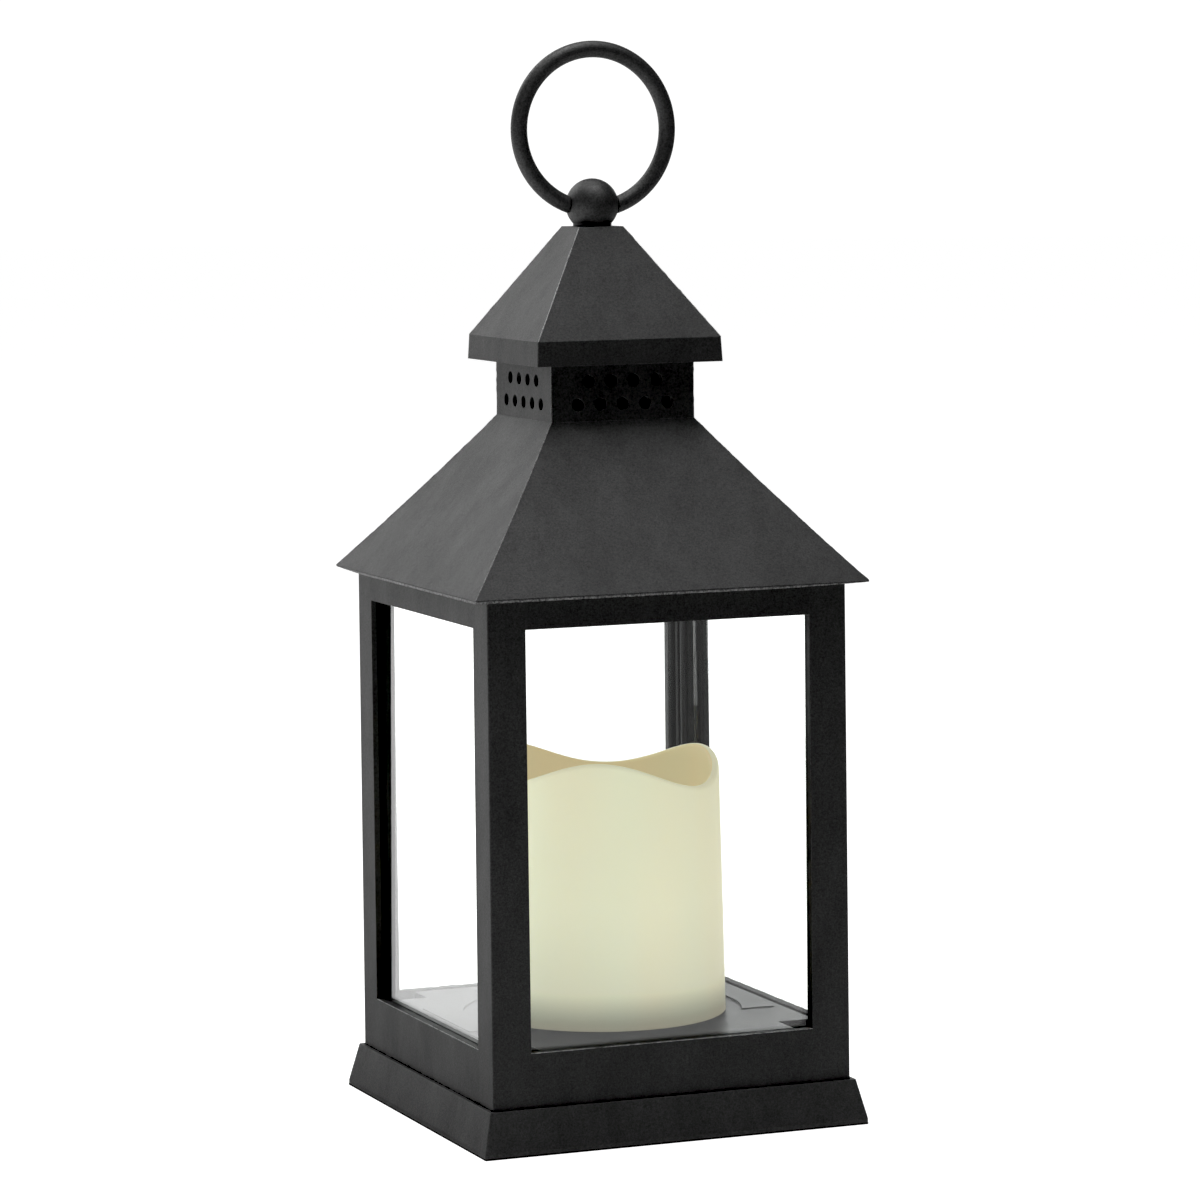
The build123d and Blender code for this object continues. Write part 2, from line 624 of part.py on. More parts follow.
def battery_door():
    """Flat door flush in the plate, with a rounded hinge edge, two pips and a finger dimple."""
    t = DOOR_HALF_THICKNESS
    y0 = door_centre_y() - DOOR_WIDTH / 2
    half = DOOR_LENGTH / 2
    door = block(CELL_X - half, CELL_X + half, y0, hinge_y(), DOOR_HINGE_Z - t, DOOR_HINGE_Z + t)
    edge = Pos(CELL_X, hinge_y(), DOOR_HINGE_Z) * Rot(0, 90, 0)
    door += edge * Cylinder(t, DOOR_LENGTH)
    door += edge * Cylinder(PIP_RADIUS, DOOR_LENGTH + 2 * PIP_LENGTH)
    door -= Pos(CELL_X, y0 + 3.0, DOOR_HINGE_Z - t - 4.4) * Sphere(5.2)
    for i in range(4):
        y = y0 + 7.5 + 1.6 * i
        door -= block(CELL_X - 5, CELL_X + 5, y, y + 0.6, DOOR_HINGE_Z - t - 1, DOOR_HINGE_Z - t + 0.35)
    return door


def box_screw_places():
    reach = BOX_LENGTH / 2 + BOX_WALL + 1.9
    return (CELL_X - reach, CELL_X + reach)


def battery_box():
    """Compartment for one cell, open below, with a flange and two screw ears."""
    half_x = BOX_LENGTH / 2
    half_y = BOX_WIDTH / 2
    w = BOX_WALL
    x, y = CELL_X, CELL_Y
    box = block(x - half_x - w, x + half_x + w, y - half_y - w, y + half_y + w, PLATE_TOP, BOX_TOP)
    ear = half_x + EAR_REACH
    side = half_y + FLANGE_REACH
    box += block(x - ear, x + ear, y - side, y + side, PLATE_TOP, PLATE_TOP + BOX_FLANGE)
    box -= block(x - half_x, x + half_x, y - half_y, y + half_y, PLATE_TOP - 1, BOX_TOP - w)
    for screw_x in box_screw_places():
        box -= rod(screw_x, CELL_Y, PLATE_TOP - 1, PLATE_TOP + 3, SMALL_SCREW[2] + SMALL_CLEARANCE)
        box -= rod(screw_x, CELL_Y, PLATE_TOP + BOX_FLANGE, BOX_TOP + 1, SMALL_SCREW[0] + SMALL_CLEARANCE)
    for end in (-1, 1):
        slot_x = x + end * (half_x + w / 2)
        box -= block(slot_x - w, slot_x + w, y - 0.8, y + 0.8, BOX_TOP - 4.5, BOX_TOP - 2.6)
    return box


def battery_cell():
    """One rechargeable AA cell."""
    lie = Pos(CELL_X + 1.4, CELL_Y, CELL_Z) * Rot(0, 90, 0)
    body = fillet(Cylinder(CELL_RADIUS, CELL_BODY).edges(), 0.6)
    return lie * (body + Pos(0, 0, CELL_BODY / 2 + 0.5) * Cylinder(2.7, 1.2))


def contact_plate(x):
    return block(x, x + 0.4, CELL_Y - 4.5, CELL_Y + 4.5, CELL_Z - 5.5, CELL_Z + 5.5)


def battery_contact():
    """Sprung tab plate at the cell's positive end."""
    x = CELL_X + BOX_LENGTH / 2 - 0.45
    plate = contact_plate(x)
    return plate + Pos(x, CELL_Y, CELL_Z) * Rot(0, 90, 0) * Cylinder(1.8, 0.7)


def battery_spring():
    """Conical coil at the negative end, on its own plate."""
    x = CELL_X - BOX_LENGTH / 2 + 0.05
    turns = 3
    steps = 8 * turns
    points = []
    for i in range(steps + 1):
        along = i / steps
        angle = 2 * math.pi * turns * along
        radius = 4.0 - 1.2 * along
        y = CELL_Y + radius * math.cos(angle)
        points.append((x + 0.85 + 3.3 * along, y, CELL_Z + radius * math.sin(angle)))
    path = Spline(*points)
    coil = sweep(Plane(origin=path @ 0, z_dir=path % 0) * Circle(0.35), path=path)
    return group([contact_plate(x), coil])


def circuit_board():
    """Charge and driver board on three standoffs."""
    x, y = BOARD
    w, d = BOARD_SIZE
    board = block(x - w / 2, x + w / 2, y - d / 2, y + d / 2, BOARD_BOTTOM, BOARD_TOP)
    for px, py in STANDOFFS:
        board -= rod(px, py, BOARD_BOTTOM - 1, BOARD_TOP + 1, SMALL_SCREW[2] + SMALL_CLEARANCE)
    return board


def board_parts():
    """Chip with its legs, coil, capacitor and small resistors."""
    top = BOARD_TOP
    parts = [block(31.0, 36.0, 1.0, 5.0, top + 0.15, top + 1.6)]
    for i in range(4):
        for y in (0.3, 5.0):
            x = 31.6 + 1.27 * i
            parts.append(block(x - 0.2, x + 0.2, y, y + 0.7, top, top + 0.5))
    parts.append(rod(38.0, -4.5, top, top + 4.0, 2.6))
    parts.append(rod(29.0, -4.5, top, top + 5.5, 2.2))
    for x, y in ((38.5, 2.0), (38.5, 5.0), (33.0, -1.8)):
        parts.append(block(x - 1.0, x + 1.0, y - 0.6, y + 0.6, top, top + 0.6))
    return group(parts)


def switch_housing():
    """Metal can of the slide switch, hanging under the board, open below."""
    x = SWITCH[0] + SWITCH_TRAVEL / 2
    y = SWITCH[1]
    can = block(x - 4.6, x + 4.6, y - 2.3, y + 2.3, PLATE_TOP + 0.1, BOARD_BOTTOM)
    return can - block(x - 3.7, x + 3.7, y - 1.6, y + 1.6, PLATE_TOP - 1, BOARD_BOTTOM - 0.8)


def switch_knob():
    """Slider inside the can, with the grip that passes through the plate."""
    x, y = SWITCH
    slider = block(x - 2.6, x + 2.6, y - 1.5, y + 1.5, PLATE_TOP + 0.3, BOARD_BOTTOM - 0.9)
    grip = block(x - 1.6, x + 1.6, y - 1.1, y + 1.1, 0.9, PLATE_TOP + 0.4)
    for i in range(3):
        groove = x - 1.05 + i * 0.8
        grip -= block(groove, groove + 0.4, y - 2, y + 2, 0.5, 1.2)
    return slider + grip


def led_wires():
    """Two insulated wires from the board, over the battery box and up the post."""
    over = BOX_TOP + 1.15
    out = []
    x, y = CANDLE_CENTRE
    for board_y, side in ((8.0, LEG_PITCH / 2), (3.0, -LEG_PITCH / 2)):
        points = [(28.8, board_y, BOARD_TOP + 0.05), (28.8, board_y, over)]
        points += [(x, y + side, over), (x, y + side, LEG_BOTTOM - 0.1)]
        out.append(strand(points, WIRE_RADIUS, 1.2))
    return group(out)


def battery_wires():
    """Two insulated wires from the box ends to the board."""
    top = BOX_TOP - 3.5
    right = CELL_X + BOX_LENGTH / 2 + 0.2
    left = CELL_X - BOX_LENGTH / 2 - BOX_WALL - 0.1
    side = CELL_Y + BOX_WIDTH / 2 + BOX_WALL + 1.2
    plus = [(right, CELL_Y, top), (26.6, CELL_Y, top), (26.6, CELL_Y, BOARD_TOP + 0.05)]
    minus = [
        (left + 0.9, CELL_Y, top), (left - 2.0, CELL_Y, top), (left - 2.0, side, top), (31.0, side, top),
        (31.0, 14.0, top), (31.0, 14.0, BOARD_TOP + 0.05),
    ]
    return group(strand(points, WIRE_RADIUS, 0.8) for points in (plus, minus))


# ---------------------------------------------------------------- fasteners
def base_screws():
    """Eight screws up through the plinth plate, into the body columns and the tray legs."""
    seat = PLATE_BOTTOM + COUNTERBORE_DEPTH
    return group(screw(x, y, seat, BIG_SCREW) for x, y in [*corners(CORNER), *corners(*TRAY_LEG)])


def roof_screws():
    return group(screw(x, y, TAB_BOTTOM, BIG_SCREW) for x, y in corners(CORNER))


def candle_screws():
    return group(screw(x, y, TRAY_BOTTOM, CANDLE_SCREW) for x, y in deck_leg_places())


def board_screws():
    """Small screws for the board and for the battery box's ears."""
    board = [screw(x, y, BOARD_TOP, SMALL_SCREW, up=False) for x, y in STANDOFFS]
    box = [screw(x, CELL_Y, PLATE_TOP + BOX_FLANGE, BOX_SCREW, up=False) for x in box_screw_places()]
    return group(board + box)


def knob_washer():
    z = NECK_TOP - NECK_DECK
    hole = rod(0, 0, z - 2, z + 1, KNOB_SCREW[2] + SMALL_CLEARANCE)
    return rod(0, 0, z - WASHER[1], z, WASHER[0]) - hole


def knob_screw():
    return screw(0, 0, NECK_TOP - NECK_DECK - WASHER[1], KNOB_SCREW)


NODES = {
    "plinth": plinth,
    "body_frame": body_frame,
    "floor_tray": floor_tray,
    "pane_front": lambda: pane(0),
    "pane_right": lambda: pane(90),
    "pane_back": lambda: pane(180),
    "pane_left": lambda: pane(270),
    "main_roof": main_roof,
    "top_cap": top_cap,
    "ball_knob": ball_knob,
    "knob_screw": knob_screw,
    "knob_washer": knob_washer,
    "carry_ring": carry_ring,
    "roof_screws": roof_screws,
    "base_screws": base_screws,
    "candle_shell": candle_shell,
    "candle_deck": candle_deck,
    "candle_screws": candle_screws,
    "led_post": led_post,
    "led_lamp": led_lamp,
    "led_legs": led_legs,
    "led_wires": led_wires,
    "solar_backing": lambda: solar_sheet(SOLAR_WIDTH, SOLAR_LENGTH, 0, BACKING_THICKNESS),
    "solar_cells": solar_cells,
    "solar_resin": solar_resin,
    "solar_cable": solar_cable,
    "battery_box": battery_box,
    "battery_door": battery_door,
    "battery_cell": battery_cell,
    "battery_spring": battery_spring,
    "battery_contact": battery_contact,
    "battery_wires": battery_wires,
    "circuit_board": circuit_board,
    "board_parts": board_parts,
    "board_screws": board_screws,
    "switch_housing": switch_housing,
    "switch_knob": switch_knob,
}

os.makedirs("parts", exist_ok=True)
for name, make in NODES.items():
    export_step(make(), f"parts/{name}.step")
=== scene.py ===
import json
import math

import bmesh
import bpy
from mathutils import Matrix, Vector, noise


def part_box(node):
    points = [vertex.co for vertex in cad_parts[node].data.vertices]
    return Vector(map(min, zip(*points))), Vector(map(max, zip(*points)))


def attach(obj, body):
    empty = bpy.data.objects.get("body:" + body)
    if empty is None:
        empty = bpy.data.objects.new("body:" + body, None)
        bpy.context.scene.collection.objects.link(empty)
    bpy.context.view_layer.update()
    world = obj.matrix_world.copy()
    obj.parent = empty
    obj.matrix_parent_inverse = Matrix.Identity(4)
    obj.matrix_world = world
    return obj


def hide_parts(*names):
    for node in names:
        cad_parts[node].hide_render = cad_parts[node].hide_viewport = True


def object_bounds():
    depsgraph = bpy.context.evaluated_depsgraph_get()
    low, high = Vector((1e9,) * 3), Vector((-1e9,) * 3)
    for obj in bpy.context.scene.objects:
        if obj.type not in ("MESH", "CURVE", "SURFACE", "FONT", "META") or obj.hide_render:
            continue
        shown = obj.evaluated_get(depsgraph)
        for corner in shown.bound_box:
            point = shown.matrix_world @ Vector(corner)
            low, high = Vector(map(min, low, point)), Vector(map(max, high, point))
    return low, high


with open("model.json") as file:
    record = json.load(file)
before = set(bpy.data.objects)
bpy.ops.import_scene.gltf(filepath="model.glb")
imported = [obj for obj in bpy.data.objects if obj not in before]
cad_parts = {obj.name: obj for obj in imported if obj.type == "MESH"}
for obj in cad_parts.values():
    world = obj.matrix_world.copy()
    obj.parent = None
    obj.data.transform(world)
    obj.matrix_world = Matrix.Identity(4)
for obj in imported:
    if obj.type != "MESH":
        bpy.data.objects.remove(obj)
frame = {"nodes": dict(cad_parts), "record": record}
cad_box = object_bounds()

MM = 0.001
WHITE = (1.0, 1.0, 1.0, 1.0)

# Floor and surroundings: what they reflect, and what the different kinds of ray see of them.
FLOOR_FRONT = 0.1
FLOOR_BACK = 0.85
LEFT_BOUNCE = 0.95
FRONT_BOUNCE = 0.27
MIRROR_WHITE = 0.8
MIRROR_FRONT = 0.42
BACK_GLOW = 3.6
UNDER_GLOW = 1.3
GLOW_DIRECTION = (0.37, 0.92, 0.12)
SEEN_WHITE = 1.35
FLOOR_RADIUS = 8.0
FLOOR_DROP = 0.05 * MM
FOOTPRINT = 48.0 * MM
LIT_SPAN = (-0.8, 0.0)
LEFT_SPAN = (-0.05, -0.35)
NEAR_RISE = (-0.45, -0.12)
NEAR_FALL = (-0.04, -0.055)
NEAR_SIDE = (-0.2, 0.15)
MIRROR_SPAN = (-0.1, 0.2)
BLACK_LEVEL = 0.0125

# Black plastic: the inside of the glazed body is smoother and darkened with painted shade, the foot is
# lightened with painted light, and the edges get a painted highlight.
INNER_HALF = 47.6 * MM
INNER_MIDDLE = 82.0 * MM
INNER_REACH = 56.0 * MM
# Painted shade inside the glazed body: its colour and specular level are scaled by this.
INNER_PAINTED_SHADE = 0.6
INNER_GRAIN = 0.1
FOOT_TOP = 12.0 * MM
FOOT_PAINTED_LIGHT = 1.5
EDGE_PAINTED_HIGHLIGHT = 5.0
EDGE_RADIUS = 0.2 * MM
FLOW_SCALE = (95.0, 95.0, 38.0)
FLOW_SPAN = (0.3, 0.7)
PIT_SPAN = (0.36, 0.66)
FINE_SHARE = 0.72
COARSE_SHARE = 0.28

# Wax: painted shade makes a greyer band above the seat, where the closed base keeps light from passing through,
# darkest right at the seat; the wall also fades darker towards the bottom.
WAX_BAND = (1.0 * MM, 11.0 * MM)
WAX_FADE = (8.0 * MM, 32.0 * MM)
WAX_SEAT_SHADE = (0.30, 0.27, 0.19, 1.0)
WAX_DEPTH = 0.9


# ---------------------------------------------------------------- shader helpers
def add_node(tree, kind, inputs, settings):
    """A node with its settings made, and each input joined to a socket or set to a value."""
    node = tree.nodes.new(kind)
    for key, value in settings.items():
        setattr(node, key, value)
    for key, value in (inputs or {}).items():
        if isinstance(value, bpy.types.NodeSocket):
            tree.links.new(value, node.inputs[key])
        else:
            node.inputs[key].default_value = value
    return node


class Shader:
    """A material under construction, with short calls for adding and joining nodes."""

    def __init__(self, name):
        self.material = bpy.data.materials.new(name)
        self.material.use_nodes = True
        self.tree = self.material.node_tree
        self.tree.nodes.clear()
        self.output = self.add("ShaderNodeOutputMaterial")
        self.place = self.add("ShaderNodeTexCoord").outputs["Object"]

    def add(self, kind, inputs=None, **settings):
        return add_node(self.tree, kind, inputs, settings)

    def stretched(self, scale):
        """Object coordinates, scaled differently along each axis."""
        return self.add("ShaderNodeMapping", {"Vector": self.place, "Scale": scale}).outputs[0]

    def noise(self, scale, detail=3.0, rough=0.5, vector=None):
        inputs = {"Vector": vector or self.place, "Scale": scale, "Detail": detail, "Roughness": rough}
        return self.add("ShaderNodeTexNoise", inputs).outputs["Fac"]

    def ramp(self, value, low, high, low_colour, high_colour):
        """Colour that turns from one to the other as value runs from low to high."""
        node = self.add("ShaderNodeValToRGB", {"Fac": value})
        stops = node.color_ramp.elements
        stops[0].position = low
        stops[1].position = high
        stops[0].color = low_colour
        stops[1].color = high_colour
        return node.outputs["Color"]

    def remap(self, value, a, b, c, d):
        inputs = {"Value": value, "From Min": a, "From Max": b, "To Min": c, "To Max": d}
        return self.add("ShaderNodeMapRange", inputs).outputs["Result"]

    def math(self, operation, a, b=0.0):
        return self.add("ShaderNodeMath", {0: a, 1: b}, operation=operation).outputs[0]

    def mix(self, factor, a, b, blend="MIX"):
        node = self.add("ShaderNodeMix", data_type="RGBA", blend_type=blend)
        for socket, value in ((0, factor), (6, a), (7, b)):
            if isinstance(value, bpy.types.NodeSocket):
                self.tree.links.new(value, node.inputs[socket])
            else:
                node.inputs[socket].default_value = value
        return node.outputs[2]

    def bump(self, height, distance, strength=1.0, normal=None):
        inputs = {"Height": height, "Distance": distance, "Strength": strength}
        if normal is not None:
            inputs["Normal"] = normal
        return self.add("ShaderNodeBump", inputs).outputs["Normal"]

    def seen_straight(self):
        """One for rays that reach the camera directly or only through glass."""
        path = self.add("ShaderNodeLightPath").outputs
        direct = self.math("LESS_THAN", path["Glossy Depth"], 0.5)
        through = self.math("MULTIPLY", path["Is Transmission Ray"], direct)
        return self.math("MAXIMUM", path["Is Camera Ray"], through)

    def finish(self, surface):
        self.tree.links.new(surface, self.output.inputs["Surface"])
        return self.material

    def principled(self, **inputs):
        names = {key.replace("_", " "): value for key, value in inputs.items()}
        return self.add("ShaderNodeBsdfPrincipled", names).outputs["BSDF"]


def grey(value):
    return (value, value, value, 1.0)


# ---------------------------------------------------------------- materials
def moulded_black(name, shade, roughness, grain, depth, cloud, specular, contrast):
    """Black moulded plastic: spark-eroded grain, faint flow clouds and softened edges, with painted shade
    inside the glazed body, painted light on the foot and painted highlights on the edges.
    """
    s = Shader(name)
    fine = s.noise(grain, detail=3.0, rough=0.7)
    coarse = s.noise(grain * 0.55, detail=1.0)
    flow = s.noise(1.0, detail=6.0, rough=0.72, vector=s.stretched(FLOW_SCALE))
    pits = s.math("ADD", s.math("MULTIPLY", fine, FINE_SHARE), s.math("MULTIPLY", coarse, COARSE_SHARE))
    spot = s.add("ShaderNodeSeparateXYZ", {0: s.place}).outputs
    reach = s.math("MAXIMUM", s.math("ABSOLUTE", spot["X"]), s.math("ABSOLUTE", spot["Y"]))
    rise = s.math("ABSOLUTE", s.math("SUBTRACT", spot["Z"], INNER_MIDDLE))
    inside_painted_shade_and_smooth = s.math("LESS_THAN", rise, INNER_REACH)
    inside_painted_shade_and_smooth = s.math("MULTIPLY", inside_painted_shade_and_smooth, s.math("LESS_THAN", reach, INNER_HALF))
    edge = s.add("ShaderNodeBevel", {"Radius": EDGE_RADIUS}, samples=4).outputs["Normal"]
    normal = s.bump(pits, depth, s.remap(inside_painted_shade_and_smooth, 0.0, 1.0, 1.0, INNER_GRAIN), edge)
    base = s.ramp(flow, *FLOW_SPAN, grey(shade * (1 - cloud)), grey(shade * (1 + cloud)))
    speck = s.ramp(pits, *PIT_SPAN, grey(1 - contrast), grey(1 + contrast))
    base = s.mix(1.0, base, speck, "MULTIPLY")
    # Painted shade: the colour inside the glazed body is darkened, standing in for the shade inside the box.
    base = s.mix(inside_painted_shade_and_smooth, base, grey(shade * INNER_PAINTED_SHADE))
    # Painted light: below FOOT_TOP the colour is lightened, standing in for light thrown up from the floor onto
    # the plinth.
    foot = s.math("LESS_THAN", spot["Z"], FOOT_TOP)
    base = s.mix(foot, base, s.mix(1.0, base, grey(FOOT_PAINTED_LIGHT), "MULTIPLY"))
    # Painted highlight: where the bevel normal turns from the face, the edge colour is lightened in broken
    # patches, standing in for light caught on the rounded edges; none inside the glazed body.
    flat = s.add("ShaderNodeNewGeometry").outputs["Normal"]
    turn = s.add("ShaderNodeVectorMath", {0: edge, 1: flat}, operation="DOT_PRODUCT").outputs["Value"]
    painted_edge_highlight = s.math("MULTIPLY", s.remap(turn, 0.995, 0.93, 0.0, 0.75), s.remap(coarse, 0.4, 0.6, 0.4, 1.0))
    painted_edge_highlight = s.math("MULTIPLY", painted_edge_highlight, s.math("SUBTRACT", 1.0, inside_painted_shade_and_smooth))
    base = s.mix(painted_edge_highlight, base, grey(shade * EDGE_PAINTED_HIGHLIGHT))
    rough = s.remap(flow, *FLOW_SPAN, roughness + 0.04, roughness - 0.04)
    level = s.remap(pits, *PIT_SPAN, specular * (1 - contrast), specular * (1 + contrast))
    # Painted shade: the specular level inside the glazed body is lowered too.
    level = s.math("MULTIPLY", level, s.remap(inside_painted_shade_and_smooth, 0.0, 1.0, 1.0, INNER_PAINTED_SHADE))
    return s.finish(s.principled(Base_Color=base, Roughness=rough, Specular_IOR_Level=level, Normal=normal))


def pane_glass():
    """Float glass; light passes it on the way to the inside without being stopped."""
    s = Shader("pane_glass")
    glass = s.principled(
        Base_Color=(0.968, 0.978, 0.972, 1.0),
        Roughness=0.0,
        IOR=1.5,
        Transmission_Weight=1.0,
    )
    clear = s.add("ShaderNodeBsdfTransparent", {"Color": (0.94, 0.95, 0.945, 1.0)}).outputs[0]
    path = s.add("ShaderNodeLightPath")
    passing = s.math("MAXIMUM", path.outputs["Is Shadow Ray"], path.outputs["Is Diffuse Ray"])
    soft = s.math("SUBTRACT", path.outputs["Is Glossy Ray"], path.outputs["Is Singular Ray"])
    passing = s.math("MAXIMUM", passing, soft)
    return s.finish(s.add("ShaderNodeMixShader", {0: passing, 1: glass, 2: clear}).outputs[0])


def wax(name, top, low, seat_z, glow):
    """Ivory wax-look plastic with a painted glow: soft, uneven, with painted shade low down where the base
    closes it.
    """
    s = Shader(name)
    streaks = s.noise(1.0, detail=2.0, vector=s.stretched((52.0, 52.0, 7.0)))
    drift = s.noise(1.0, detail=1.0, vector=s.stretched((30.0, 30.0, 16.0)))
    mottle = s.noise(160.0, detail=4.0)
    warm = s.ramp(streaks, 0.32, 0.68, (0.965, 1.0, 0.985, 1), (1.0, 0.972, 0.93, 1))
    shade = s.ramp(drift, 0.3, 0.7, grey(0.965), grey(1.0))
    height = s.add("ShaderNodeSeparateXYZ", {0: s.place}).outputs["Z"]
    # Painted shade: the colour turns to the greyer low colour in a band above the seat and darker still at the
    # seat itself.
    band = s.add(
        "ShaderNodeMapRange",
        {"Value": height, "From Min": seat_z + WAX_BAND[0], "From Max": seat_z + WAX_BAND[1]},
        interpolation_type="SMOOTHSTEP",
    ).outputs["Result"]
    foot = s.remap(height, seat_z + 0.3 * MM, seat_z + 3.5 * MM, 0.7, 0.0)
    tone = s.mix(foot, low, WAX_SEAT_SHADE)
    tone = s.mix(band, tone, top)
    fade = s.remap(height, seat_z + WAX_FADE[0], seat_z + WAX_FADE[1], 0.87, 1.0)
    tone = s.mix(1.0, tone, s.ramp(fade, 0.0, 1.0, grey(0.0), WHITE), "MULTIPLY")
    tone = s.mix(1.0, s.mix(1.0, tone, warm, "MULTIPLY"), shade, "MULTIPLY")
    normal = s.bump(mottle, 0.12 * MM, 0.35)
    # Painted glow: the wax emits its own colour to rays that reach the camera straight or through glass,
    # standing in for light passing through it.
    seen = s.seen_straight()
    body = s.principled(
        Base_Color=s.mix(1.0, tone, grey(WAX_DEPTH), "MULTIPLY"),
        Roughness=s.remap(mottle, 0.3, 0.7, 0.42, 0.55),
        Specular_IOR_Level=0.3,
        Subsurface_Weight=0.6,
        Subsurface_Radius=(1.0, 0.8, 0.5),
        Subsurface_Scale=4.0 * MM,
        Normal=normal,
        Emission_Color=tone,
        Emission_Strength=s.math("MULTIPLY", seen, glow),
    )
    return s.finish(body)


def soft_plastic(name, colour, roughness=0.45, mottling=0.06):
    """Plain moulded plastic with a faint mottle and a light grain."""
    s = Shader(name)
    spots = s.noise(140.0, detail=3.0)
    low = tuple(c * (1 - mottling) for c in colour) + (1.0,)
    high = tuple(min(1.0, c * (1 + mottling)) for c in colour) + (1.0,)
    grain = s.noise(1500.0, detail=2.0)
    return s.finish(
        s.principled(
            Base_Color=s.ramp(spots, 0.3, 0.7, low, high),
            Roughness=s.remap(spots, 0.3, 0.7, roughness - 0.06, roughness + 0.06),
            Normal=s.bump(grain, 0.02 * MM, 0.5),
        )
    )


def plated_metal(name, colour, roughness, brushing=900.0):
    """Plated steel with fine scratches."""
    s = Shader(name)
    scratches = s.noise(1.0, detail=3.0, vector=s.stretched((brushing, brushing * 0.2, brushing)))
    patches = s.noise(350.0, detail=3.0)
    low = tuple(c * 0.82 for c in colour) + (1.0,)
    return s.finish(
        s.principled(
            Base_Color=s.ramp(patches, 0.3, 0.75, low, colour + (1.0,)),
            Metallic=1.0,
            Roughness=s.remap(scratches, 0.25, 0.75, roughness - 0.08, roughness + 0.12),
            Normal=s.bump(scratches, 0.01 * MM, 0.4),
        )
    )


def lamp_resin(name, colour, roughness=0.05):
    """Clear or tinted resin that lets shadow rays through."""
    s = Shader(name)
    ripple = s.noise(220.0, detail=2.0)
    body = s.principled(
        Base_Color=colour, Roughness=roughness, IOR=1.5, Transmission_Weight=1.0,
        Normal=s.bump(ripple, 0.03 * MM, 0.4),
    )
    clear = s.add("ShaderNodeBsdfTransparent", {"Color": colour}).outputs[0]
    path = s.add("ShaderNodeLightPath")
    passing = s.math("MAXIMUM", path.outputs["Is Shadow Ray"], path.outputs["Is Diffuse Ray"])
    return s.finish(s.add("ShaderNodeMixShader", {0: passing, 1: body, 2: clear}).outputs[0])


def solar_silicon():
    """Dark blue silicon with crystal patches and thin printed collector lines."""
    s = Shader("solar_silicon")
    crystals = s.add("ShaderNodeTexVoronoi", {"Vector": s.place, "Scale": 420.0}).outputs["Color"]
    tone = s.add("ShaderNodeSeparateColor", {0: crystals}).outputs[0]
    blue = s.ramp(tone, 0.0, 1.0, (0.006, 0.011, 0.045, 1), (0.016, 0.032, 0.115, 1))
    parts = s.add("ShaderNodeSeparateXYZ", {0: s.place})
    lines = s.math("FRACT", s.math("MULTIPLY", parts.outputs["Z"], 620.0))
    finger = s.math("LESS_THAN", lines, 0.13)
    bars = s.math("FRACT", s.math("ADD", s.math("MULTIPLY", parts.outputs["X"], 1000.0 / 11.0), 0.53))
    bar = s.math("LESS_THAN", s.math("ABSOLUTE", s.math("SUBTRACT", bars, 0.5)), 0.05)
    silver = s.math("MAXIMUM", finger, bar)
    base = s.mix(silver, blue, (0.42, 0.43, 0.44, 1))
    return s.finish(s.principled(Base_Color=base, Roughness=0.28, Metallic=s.math("MULTIPLY", silver, 0.8)))


def board_green():
    """Solder mask over copper tracks."""
    s = Shader("board_green")
    tracks = s.add(
        "ShaderNodeTexBrick",
        {"Vector": s.place, "Scale": 260.0, "Mortar Size": 0.035, "Color1": grey(0.0), "Color2": grey(0.05),
         "Mortar": WHITE},
    ).outputs["Color"]
    wander = s.noise(300.0, detail=2.0)
    shown = s.mix(1.0, tracks, s.ramp(wander, 0.45, 0.55, grey(0.0), grey(1.0)), "MULTIPLY")
    base = s.mix(shown, (0.008, 0.075, 0.03, 1), (0.03, 0.17, 0.06, 1))
    return s.finish(s.principled(Base_Color=base, Roughness=0.3, Normal=s.bump(shown, 0.03 * MM, 0.6)))


def cell_sleeve():
    """Shrink sleeve of the rechargeable cell: green with a pale band at the positive end."""
    s = Shader("cell_sleeve")
    low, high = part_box("battery_cell")
    along = s.add("ShaderNodeSeparateXYZ", {0: s.place}).outputs["X"]
    share = s.remap(along, low.x, high.x, 0.0, 1.0)
    band = s.ramp(share, 0.70, 0.71, (0.05, 0.23, 0.10, 1), (0.62, 0.63, 0.60, 1))
    tip = s.math("GREATER_THAN", share, 0.965)
    base = s.mix(tip, band, (0.7, 0.7, 0.68, 1))
    wrinkle = s.noise(260.0, detail=3.0)
    return s.finish(
        s.principled(
            Base_Color=base, Roughness=s.remap(wrinkle, 0.3, 0.7, 0.22, 0.34), Metallic=tip,
            Normal=s.bump(wrinkle, 0.05 * MM, 0.4),
        )
    )


# Each black finish: shade, roughness, grain, depth, cloud, specular and contrast.
BLACK_FINISHES = {
    "black_textured": (0.03, 0.55, 2700.0, 0.09 * MM, 0.22, 0.5, 0.24),
    "black_satin": (0.026, 0.56, 2300.0, 0.04 * MM, 0.25, 0.68, 0.3),
    "tray_satin": (0.042, 0.41, 3600.0, 0.01 * MM, 0.12, 0.66, 0.15),
    # Painted highlight: lighter than the plastic, for the flash along the eave.
    "flash_edge": (0.13, 0.5, 2600.0, 0.05 * MM, 0.3, 0.6, 0.8),
    # Painted highlight: lighter than the plastic, for the raised lines on the hips and neck corners.
    "parting_edge": (0.08, 0.5, 2600.0, 0.03 * MM, 0.3, 0.6, 0.5),
    # Painted highlight: the brightest, for the cap's hips and the window sills.
    "worn_edge": (0.2, 0.5, 2600.0, 0.03 * MM, 0.4, 0.6, 0.5),
    # Painted shade: near black, for the shaded joint over the plinth and the contact shadow at its foot.
    "seam_dark": (0.003, 0.9, 2600.0, 0.05 * MM, 0.3, 0.04, 0.3),
}


